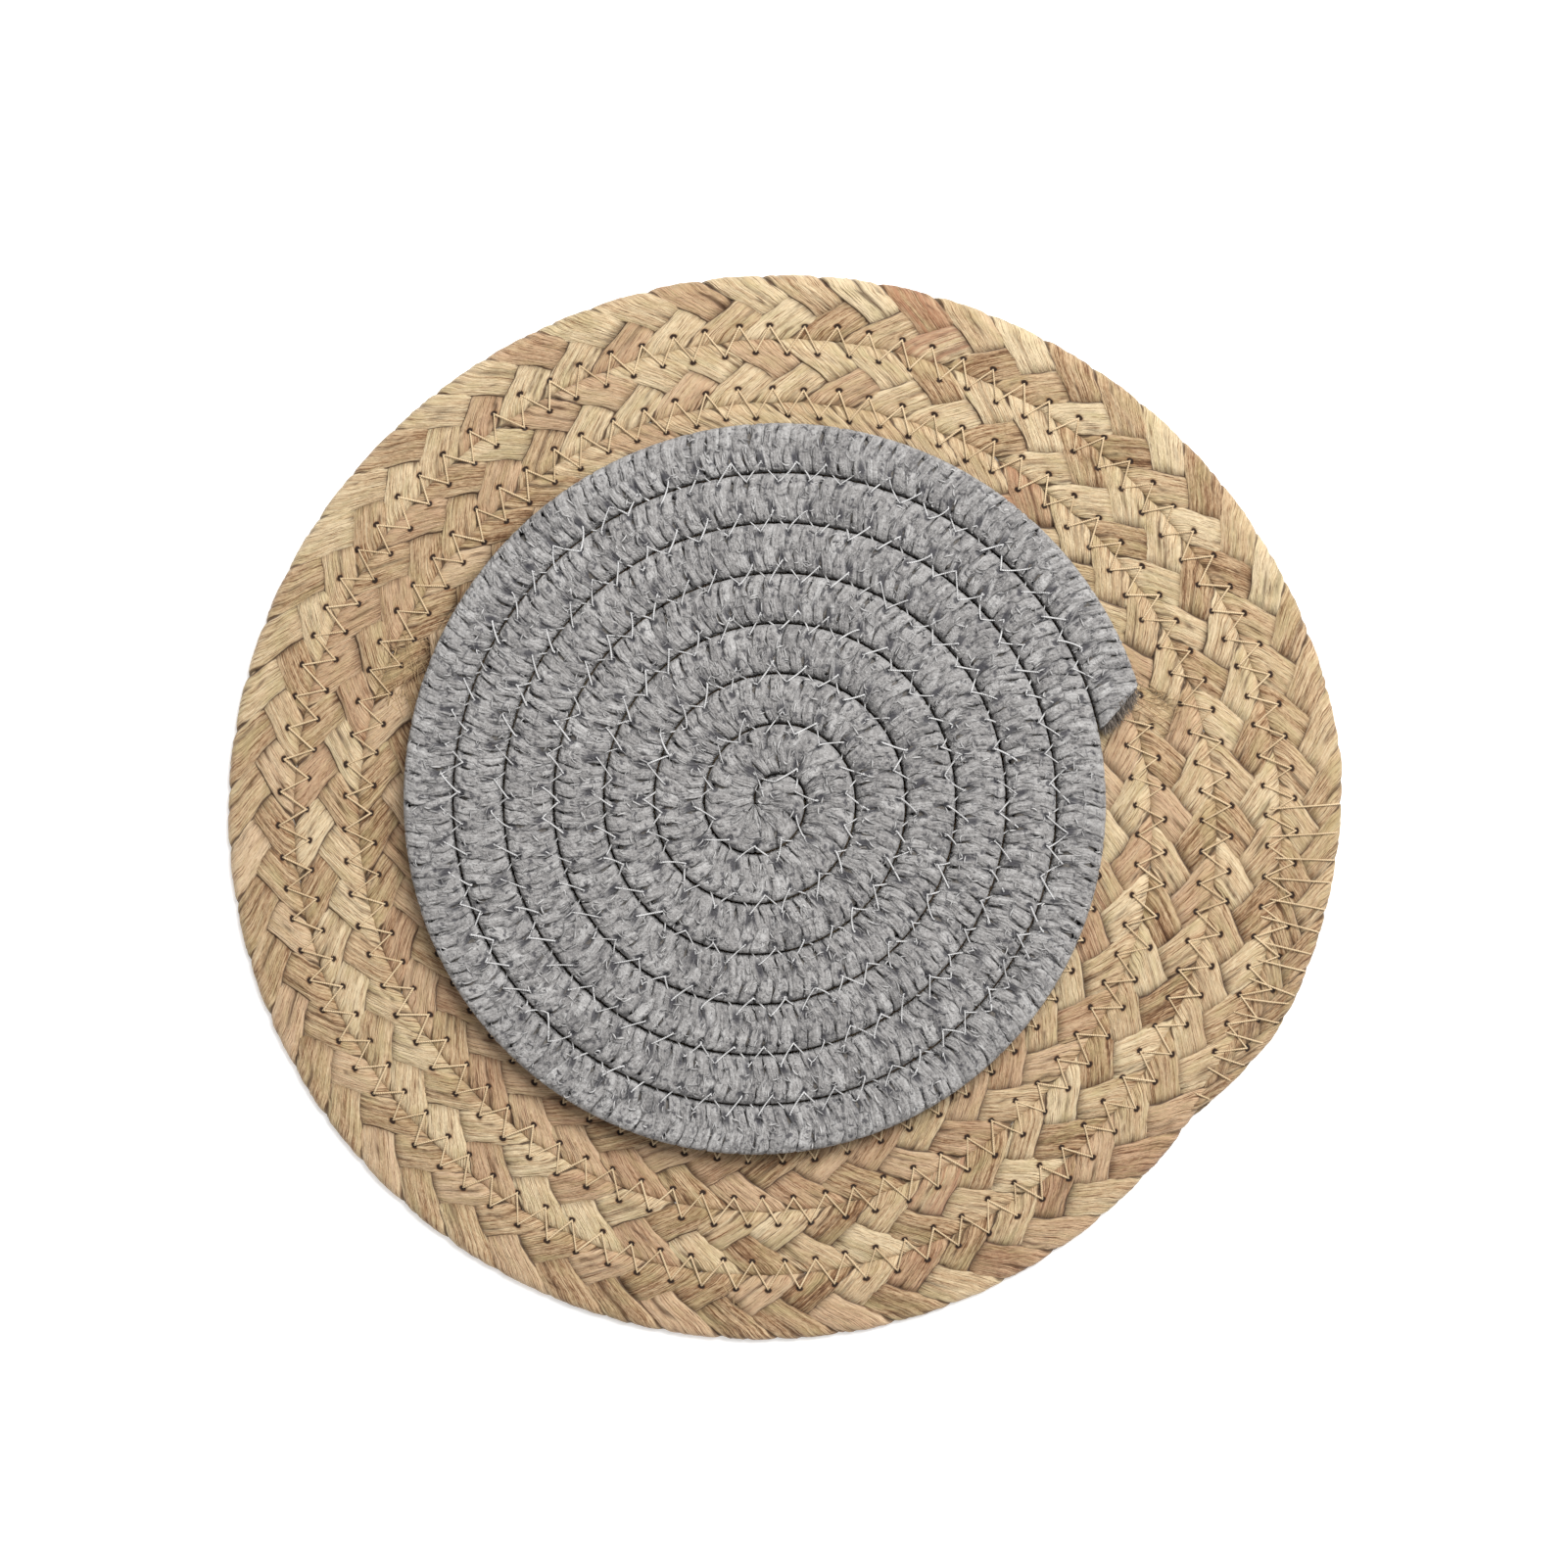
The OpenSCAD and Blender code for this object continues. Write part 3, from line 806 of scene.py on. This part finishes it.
def half_turn(s):
    """Number of the half turn that each distance along the rope lies in."""
    return np.clip(np.searchsorted(TURN_START, s, side="right") - 1, 0, HALF_TURNS - 1)


def on_half_turn(odd, r, swept, v):
    """Point v outward from a half turn of radius r, the odd ones made round the second centre."""
    a = np.where(odd, math.pi, 0) + swept
    return np.where(odd, TURN_STEP, 0) + (r + v)*np.cos(a), (r + v)*np.sin(a)


def rope_point(s, v, z):
    """Point s along the rope's centreline, v outward from it and z above the coil's underside."""
    turn = half_turn(s)
    r = TURN_R[turn]
    x, y = on_half_turn(turn % 2 == 1, r, np.maximum(s - TURN_START[turn], 0)/r, v)
    return np.stack([x, y + np.minimum(s, 0), z + 0*x], -1)


def fuller(x):
    """Rounds a circle out towards a square, because the sewn turns press on each other."""
    return np.sign(x)*np.abs(x)**0.68


def rope_outline(p, depth):
    """Place on the rope's oval outline, p around it from the top towards outward, depth inside it."""
    p = np.mod(p, PERIMETER)
    arc = math.pi*ROUND_R
    r = ROUND_R - depth
    phi = np.clip((p - FLAT)/ROUND_R, 0, math.pi) + np.clip((p - 3*FLAT - arc)/ROUND_R, 0, math.pi)
    corners = np.array([0, FLAT, FLAT + arc, 3*FLAT + arc, 3*FLAT + 2*arc, PERIMETER])
    v = np.interp(p, corners, [0, FLAT, FLAT, -FLAT, -FLAT, 0])
    return v + r*fuller(np.sin(phi)), ROPE_H/2 + r*fuller(np.cos(phi))


def cut_limit(v):
    """How far along the rope its slanted end lets a fibre reach, v outward."""
    return ROPE_LEN - (v + ROPE_PITCH/2)*math.tan(math.radians(ROPE_END_SLANT))


# The disc's seam runs between neighbouring turns, half a turn at a time, like the rope
rope_rng = np.random.default_rng(23)
SEAM_TURNS = np.arange(-1, HALF_TURNS - 2)
ROPE_SEAM_R = TURN_STEP*(SEAM_TURNS + 2)
ROPE_SEAM_START = np.concatenate([[0], np.cumsum(math.pi*ROPE_SEAM_R)])
ROPE_STITCHES = math.floor((ROPE_SEAM_START[-1] - ROPE_W/2)/STITCH_STEP) - 1
ROPE_REACH = 3.2 + rope_rng.uniform(-0.6, 0.6, ROPE_STITCHES + 1)
ROPE_REACH = ROPE_REACH + np.where(np.arange(ROPE_STITCHES + 1) % 2 == 0, -0.5, 0.7)
ROPE_SHIFT = rope_rng.uniform(-0.6, 0.6, ROPE_STITCHES + 1)

# Heights of a stitch's places, and how much of its sag and of its bite each place takes
ROPE_STITCH_Z = np.array([8.6, 10.7, 11.1, 10.7, 10.2, 10.6, 10.9, 10.6, 8.6])
ROPE_STITCH_SAG = np.array([0, 0, 0.2, 0.8, 1, 0.8, 0.4, 0, 0])
ROPE_STITCH_BITE = np.array([0, 0.5, 1, 1, 1, 1, 1, 0.5, 0])


def rope_seam_hole(number, pull):
    """Point at a needle hole beside the seam between the rope's turns, on the coil as it is made."""
    s = STITCH_STEP*(number + 0.5) + ROPE_SHIFT[number]
    i = np.clip(np.searchsorted(ROPE_SEAM_START, s, side="right") - 1, 0, len(ROPE_SEAM_R) - 1)
    r = ROPE_SEAM_R[i]
    v = np.where(number % 2 == 0, -1, 1)*(ROPE_REACH[number] - pull)
    x, y = on_half_turn(SEAM_TURNS[i] % 2 == 1, r, (s - ROPE_SEAM_START[i])/r, v)
    return np.stack([x, y, 0*x], -1)


def rope_hole_depth(s, v):
    """How deep the surface is pulled in near the needle holes of both seams beside the rope."""
    turn = half_turn(s)
    a = np.maximum(s - TURN_START[turn], 0)/TURN_R[turn]
    outer = v > 0
    row = np.where(outer, turn, turn - 2) + 1
    real = (row >= 0) & (row < len(ROPE_SEAM_R))
    row = np.clip(row, 0, len(ROPE_SEAM_R) - 1)
    along = ROPE_SEAM_START[row] + a*ROPE_SEAM_R[row]
    parity = np.where(outer, 0, 1)
    number = parity + 2*np.round((along/STITCH_STEP - 0.5 - parity)/2).astype(int)
    real = real & (number >= 0) & (number <= ROPE_STITCHES)
    number = np.clip(number, 0, ROPE_STITCHES)
    away = along - STITCH_STEP*(number + 0.5) - ROPE_SHIFT[number]
    across = np.abs(v) - (TURN_STEP - ROPE_REACH[number])
    return np.where(real, np.exp(-(away/1.0)**2 - (across/1.1)**2), 0)


# Length of rope that a carrier takes for one turn, its passes over and under, and its sections
LAY, COLUMNS = 9.2, 4
OVER_STEPS, UNDER_STEPS = 13, 3
YARNS = 4
YARN_PLACES = (-0.86, -0.35, 0.35, 0.86)
BACK_PLACES = (0.9, 0.3, -0.3, -0.9)


def carrier_samples(over_first):
    """Places around the rope, as shares of one turn of a carrier, of its sections."""
    over = np.linspace(0, 1, OVER_STEPS + 1)[:-1]
    under = np.linspace(0, 1, UNDER_STEPS + 1)[:-1]
    places = []
    for column in range(COLUMNS):
        steps = over if (column % 2 == 0) == over_first else under
        places.append((column + steps)/COLUMNS)
    return np.concatenate(places)


def carrier_route(way, offset):
    """Turns travelled, distance along the rope and place around it of a carrier's sections."""
    turns = math.ceil((ROPE_LEN + TIP_LEN + 2*LAY)/LAY)
    travel = (np.arange(turns)[:, None] + carrier_samples(way > 0)[None, :]).ravel()
    s = (travel - 1)*LAY - TIP_LEN + way*offset*LAY
    p = way*travel*PERIMETER
    keep = (s > -TIP_LEN + 0.2) & (s < ROPE_LEN + 2)
    return travel[keep], s[keep], p[keep]


def yarn_section():
    """Half-round yarns side by side on top and a flat back: places from -1 to 1, heights, and
    which of them are on top."""
    top = [(2*yarn + 1 + k)/YARNS - 1 for yarn in range(YARNS) for k in YARN_PLACES]
    places = np.array([*top, *BACK_PLACES])
    heights = np.zeros(len(places))
    heights[:len(top)] = [math.sqrt(1 - k*k) for k in YARN_PLACES]*YARNS
    return places, heights, np.arange(len(places)) < len(top)


class Carrier:
    """One of the braid's carriers: a flat bundle of yarns that winds around the rope. s is along the
    rope, p is around it, and c is across the bundle from -1 to 1. A float is one pass over or under
    the other bundles."""

    def __init__(self, way, offset, seed):
        self.seed = seed
        self.rng = np.random.default_rng(seed)
        self.travel, self.s, self.p = (value[:, None] for value in carrier_route(way, offset))
        column = np.floor(self.travel*COLUMNS).astype(int)
        self.float_no = column - column.min()
        self.floats = self.float_no.max() + 2
        self.fade = np.sin(math.pi*(self.travel*COLUMNS - column))
        wave = way*np.sin(4*math.pi*self.p/PERIMETER)
        self.lift = np.sign(wave)*np.abs(wave)**0.55
        self.at_side = np.abs(np.sin(2*math.pi*self.p/PERIMETER))**5
        self.c, self.yarn, self.is_top = (value[None, :] for value in yarn_section())
        self.lay()

    def uneven(self, size):
        """A random amount for each float, which dies away where the float ends."""
        return self.fade*self.rng.normal(0, size, self.floats)[self.float_no]

    def lay(self):
        """Lays the bundle around the rope: s along it, p around it, and the depth in it."""
        shift, height, wide, slant = (self.uneven(size) for size in (0.32, 0.14, 0.06, 0.25))
        self.half = LAY/4*(0.74 + 0.26*np.clip(self.lift, 0, 1))*(1 + wide)
        bend = 0.16*value_noise(self.travel*14, 0*self.travel, self.float_no, self.seed + 40)
        self.s = self.s + shift + (self.c + bend)*self.half + slant*self.c
        self.fuzz = layered_noise(self.travel*26, self.c*1.4, self.float_no, self.seed, 3)
        rim = 0.75*np.abs(self.c)**2.4
        base = 1.6 - 0.62*self.lift - 1.25*self.at_side - height + rim
        raised = np.where(self.is_top, 0.5*self.yarn + 0.42*self.fuzz, -0.45)
        self.depth = np.clip(base - raised, 0.06, 3.2)

    def points(self):
        """Points of the bundle, sunk at the needle holes, rounded at the coil's inner tip and cut
        off at the rope's slanted end."""
        around = self.p + 0*self.s
        self.hole = rope_hole_depth(self.s, rope_outline(around, self.depth)[0])
        v, z = rope_outline(around, np.clip(self.depth + 1.1*self.hole, 0.06, 4))
        tip = np.sqrt(np.clip(1 - (np.minimum(self.s, 0)/TIP_LEN)**2, 0.004, 1))
        self.v = v*tip
        z = ROPE_H/2 + (z - ROPE_H/2)*tip
        ragged = 0.5*layered_noise(self.v*0.9, z*0.9, 0*self.float_no, 3, 2)
        s = np.clip(self.s, -TIP_LEN, cut_limit(self.v) + ragged)
        return on_mat(rope_point(s, self.v, z))

    def groove(self):
        """Painted shade: how dark the gaps are between yarns, at the bundle's rims, below other
        bundles, in the needle holes and between the rope's turns."""
        between = np.where(self.is_top, 1 - self.yarn**1.3, 1.0)*0.34
        groove = between + 0.6*np.abs(self.c)**5 - 0.4*self.fuzz
        groove = groove + 0.5*np.clip(0.5 - self.lift, 0, 1)*(1 - 0.8*self.at_side) + 2.6*self.hole
        return np.clip(groove + smooth((np.abs(self.v) - 6.6)/1.4)*0.2, 0, 1.6)

    def tone(self):
        """Tone of each yarn and of each float."""
        yarn_no = np.clip(((self.c + 1)/2*YARNS).astype(int), 0, YARNS - 1)
        of_yarn = self.rng.normal(0, 0.09, (self.floats, YARNS))[self.float_no, yarn_no]
        return 0.5 + 0.08*self.rng.normal(0, 1, self.floats)[self.float_no] + of_yarn

    def attributes(self):
        """Values that the cotton material reads at each point. It follows points()."""
        flat = 0*self.s
        yarn = (self.c*self.half + flat, self.travel*PERIMETER + flat, self.float_no + flat)
        return {"yarn": np.stack(yarn, -1), "groove": self.groove(), "tone": self.tone()}


def add_rope_cover(material):
    """The braid's four carriers, two each way round, each in two pieces."""
    carriers = ((1, 0.0, "s1"), (1, 0.5, "s2"), (-1, 0.25, "z1"), (-1, 0.75, "z2"))
    for number, (way, offset, name) in enumerate(carriers):
        carrier = Carrier(way, offset, 300 + number)
        points, attributes = carrier.points(), carrier.attributes()
        for piece in add_in_halves(f"rope_braid_{name}", points, attributes, 0.48):
            place(piece, "rope_disc", "cotton_cover", material, "rope_cover")


def add_rope_core(material):
    """Soft core inside the braid, seen between the bundles and at the cut end."""
    rings, around, depth = 1100, 24, 2.35
    s = np.linspace(-TIP_LEN + 2, ROPE_LEN, rings)[:, None]
    p = np.arange(around)[None, :]/around*PERIMETER
    tip = np.sqrt(np.clip(1 - (np.minimum(s, 0)/(TIP_LEN - 1.9))**2, 0.02, 1))
    uneven = 0.18*layered_noise(s*0.25, p*0.5, 0*s, 61, 2)
    v, z = rope_outline(p + 0*s, depth + uneven)
    v, z = v*tip, ROPE_H/2 + (z - ROPE_H/2)*tip
    cut = cut_limit(v) + 0.5 + 0.7*layered_noise(v*0.8, z*0.8, 0*s, 9, 2)
    points = on_mat(rope_point(np.minimum(s, cut), v, z))
    quads, ends = tube_faces(1, rings, around)
    flat = 0*(s + p)
    # The core's shade value darkens all of it evenly: painted shade, as it lies inside the braid.
    attributes = {"yarn": np.stack([p + flat, s + flat, flat], -1),
                  "groove": 0.75 + flat, "tone": 0.3 + flat}
    piece = add_mesh("rope_core_yarn", points, quads, attributes, ends)
    place(piece, "rope_disc", "cotton_core", material, "rope_core")


def add_rope_threads(material):
    """Upper and lower thread of the disc's seam. Every other stitch bites deep into the cotton."""
    even = np.arange(ROPE_STITCHES)[:, None] % 2 == 0
    rng = np.random.default_rng(41)
    sag = rng.uniform(0.1, 1.1, ROPE_STITCHES)[:, None]*ROPE_STITCH_SAG
    arch = np.sin(math.pi*np.linspace(0, 1, len(STITCH_SHARES)))[:, None]
    bow = rng.normal(0, 0.45, (ROPE_STITCHES, 1, 2))*arch
    top = ROPE_STITCH_Z - sag
    shallow = rng.uniform(-0.1, 0.5, ROPE_STITCHES)[:, None]
    deep = rng.uniform(0.5, 2.2, ROPE_STITCHES)[:, None]
    top = np.where(even, top, top[:, ::-1]) - np.where(even, shallow, deep)*ROPE_STITCH_BITE
    for name, node, heights in (("rope_top_stitches", "rope_needle_thread", top),
                                ("rope_bottom_stitches", "rope_bobbin_thread", ROPE_H - top)):
        paths = stitch_paths(rope_seam_hole, heights, 0.3)
        paths[:, :, :2] += bow
        radius = rng.uniform(0.2, 0.3, ROPE_STITCHES)[:, None]
        piece = add_tubes(name, on_mat(paths), radius)
        place(piece, "rope_disc", "rope_thread", material, node)


def on_rope(s, p, turn, size, curl, depth):
    """Paths of loose fibres on the rope from s and p, heading turn from along the rope, curling."""
    steps = depth.shape[1]
    heading = turn[:, None] + curl
    ds = np.cumsum(np.cos(heading), 1)*size[:, None]/steps
    dp = np.cumsum(np.sin(heading), 1)*size[:, None]/steps
    v, z = rope_outline(p[:, None] + dp, depth)
    return on_mat(rope_point(s[:, None] + ds, v, z))


def add_rope_loose_yarn(material):
    """Short lengths of yarn that lie across the bundles and dip back into them."""
    rng = np.random.default_rng(61)
    count = 5200
    s = rng.uniform(-5, ROPE_LEN - 16, count)
    p = rng.uniform(-0.26, 0.26, count)*PERIMETER
    size = rng.uniform(2.0, 4.6, count)
    turn = rng.normal(0, 0.35, count) + rng.choice([0, 1, 1, 2, 3, 3], count)*math.pi/2
    share = np.linspace(0, 1, 5)[None, :]
    curl = rng.normal(0, 0.5, count)[:, None]*share
    depth = 1.25 - rng.uniform(0.75, 1.15, count)[:, None]*np.sin(math.pi*share)
    paths = on_rope(s, p, turn, size, curl, np.clip(depth, 0.1, 2))
    radius = rng.uniform(0.13, 0.27, count)[:, None]*np.array([0.6, 1, 1, 1, 0.6])
    piece = add_tubes("rope_loose_yarn", paths, radius, 4)
    place(piece, "rope_disc", "cotton_cover", material)


def add_rope_fuzz(material):
    """Short loose hairs all over the braid."""
    rng = np.random.default_rng(51)
    count = 9400
    s = rng.uniform(0, ROPE_LEN - 14, count)
    p = rng.uniform(-0.27, 0.27, count)*PERIMETER
    size = rng.uniform(1.0, 3.6, count)
    turn = rng.normal(0, 0.5, count) + np.where(rng.random(count) < 0.5, 1, -1)*math.pi/2
    share = np.linspace(0, 1, 4)[None, :]
    curl = rng.normal(0, 1.1, count)[:, None]*share
    depth = 0.75 - share*rng.uniform(0.1, 0.72, count)[:, None]
    paths = on_rope(s, p, turn, size, curl, np.clip(depth, 0.02, 2))
    radius = rng.uniform(0.05, 0.12, count)[:, None]*np.linspace(1, 0.35, 4)[None, :]
    place(add_tubes("rope_fuzz", paths, radius, 3), "rope_disc", "cotton_cover", material)


def add_rope_end_fray(material):
    """Cut yarn ends at the rope's slanted end."""
    rng = np.random.default_rng(71)
    count = 420
    v = rng.uniform(-6.6, 6.8, count)
    limit = np.sqrt(np.clip(1 - (np.clip(np.abs(v) - FLAT, 0, 5)/5.2)**2, 0, 1))
    z = ROPE_H/2 + rng.uniform(-1, 1, count)*limit*4.9
    share = np.linspace(0, 1, 6)[None, :]
    size = rng.uniform(1.2, 4.2, count)[:, None]
    s = cut_limit(v)[:, None] - 1.5 + share*(1.5 + size)
    side = v[:, None] + rng.normal(0, 1.1, count)[:, None]*share**1.6
    z = np.clip(z[:, None] + (rng.normal(-0.9, 1.1, count)[:, None])*share**1.6, 0.3, ROPE_H - 0.4)
    paths = on_mat(rope_point(s, side, z))
    radius = rng.uniform(0.08, 0.2, count)[:, None]*np.linspace(1, 0.5, 6)[None, :]
    place(add_tubes("rope_end_fray", paths, radius, 4), "rope_disc", "cotton_core", material)


# ---- scene

def add_camera():
    """Straight down over the mat, with a long lens."""
    data = bpy.data.cameras.new("camera")
    camera = bpy.data.objects.new("camera", data)
    bpy.context.scene.collection.objects.link(camera)
    height, width, forward, sensor = 2.2, 0.510, 0.0075, 36
    data.sensor_width = sensor
    data.lens = sensor*height/width
    data.clip_end = 20
    camera.location = (0.0, forward, height)
    bpy.context.scene.camera = camera


def add_key_light(location, size, power):
    """Square area light that points at the middle of the mat."""
    data = bpy.data.lights.new("key", "AREA")
    data.size = size
    data.energy = power
    light = bpy.data.objects.new("key", data)
    light.location = location
    direction = -light.location
    light.rotation_euler = direction.to_track_quat("-Z", "Y").to_euler()
    bpy.context.scene.collection.objects.link(light)


def add_floor():
    """White floor that also glows a little, so that only a faint shadow is seen on it."""
    half, below = 3000.0, 0.15
    corners = np.array([[-1, -1, 0], [1, -1, 0], [1, 1, 0], [-1, 1, 0]])*half - [0, 0, below]
    floor = add_mesh("floor", corners, [[0, 1, 2, 3]])
    n = Nodes("floor")
    n.shader.inputs["Emission Color"].default_value = (1, 1, 1, 1)
    n.shader.inputs["Emission Strength"].default_value = 0.3
    floor.data.materials.append(n.finish((0.93, 0.93, 0.93, 1), 0.9, specular=0.1))


def add_world():
    """Even white light from all round."""
    world = bpy.data.worlds.new("studio")
    bpy.context.scene.world = world
    world.use_nodes = True
    background = world.node_tree.nodes["Background"]
    background.inputs["Color"].default_value = (1, 1, 1, 1)
    background.inputs["Strength"].default_value = 0.52


def add_studio():
    """Everything around the pad."""
    add_camera()
    add_floor()
    add_world()
    add_key_light((0.52, 0.69, 1.53), 0.95, 42)
    bpy.context.scene.view_settings.view_transform = "Standard"
    bpy.context.scene.view_settings.look = "None"


def build():
    """The pad in its studio."""
    add_studio()
    husk = husk_material()
    mat_thread = thread_material("mat_thread", linear(164, 134, 96), linear(226, 203, 166), 0.1)
    rope_thread = thread_material("rope_thread", linear(150, 148, 147), linear(222, 221, 220), 0.15)
    cover = cotton_material("cotton_cover", linear(40, 38, 46), linear(94, 92, 92),
                            linear(146, 143, 141), linear(186, 184, 182))
    core = cotton_material("cotton_core", linear(40, 36, 36), linear(92, 86, 80),
                           linear(150, 142, 132), linear(190, 184, 176))
    add_husk(husk)
    add_mat_threads(mat_thread)
    add_tail_binding(mat_thread)
    add_frays(fibre_material("husk_fibre", linear(120, 92, 62), linear(196, 168, 126)))
    add_rope_cover(cover)
    add_rope_core(core)
    add_rope_threads(rope_thread)
    cotton_fibre = fibre_material("cotton_fibre", linear(84, 82, 84), linear(196, 194, 192))
    add_rope_loose_yarn(cotton_fibre)
    add_rope_fuzz(cotton_fibre)
    add_rope_end_fray(fibre_material("cut_fibre", linear(60, 52, 46), linear(150, 138, 126)))


build()
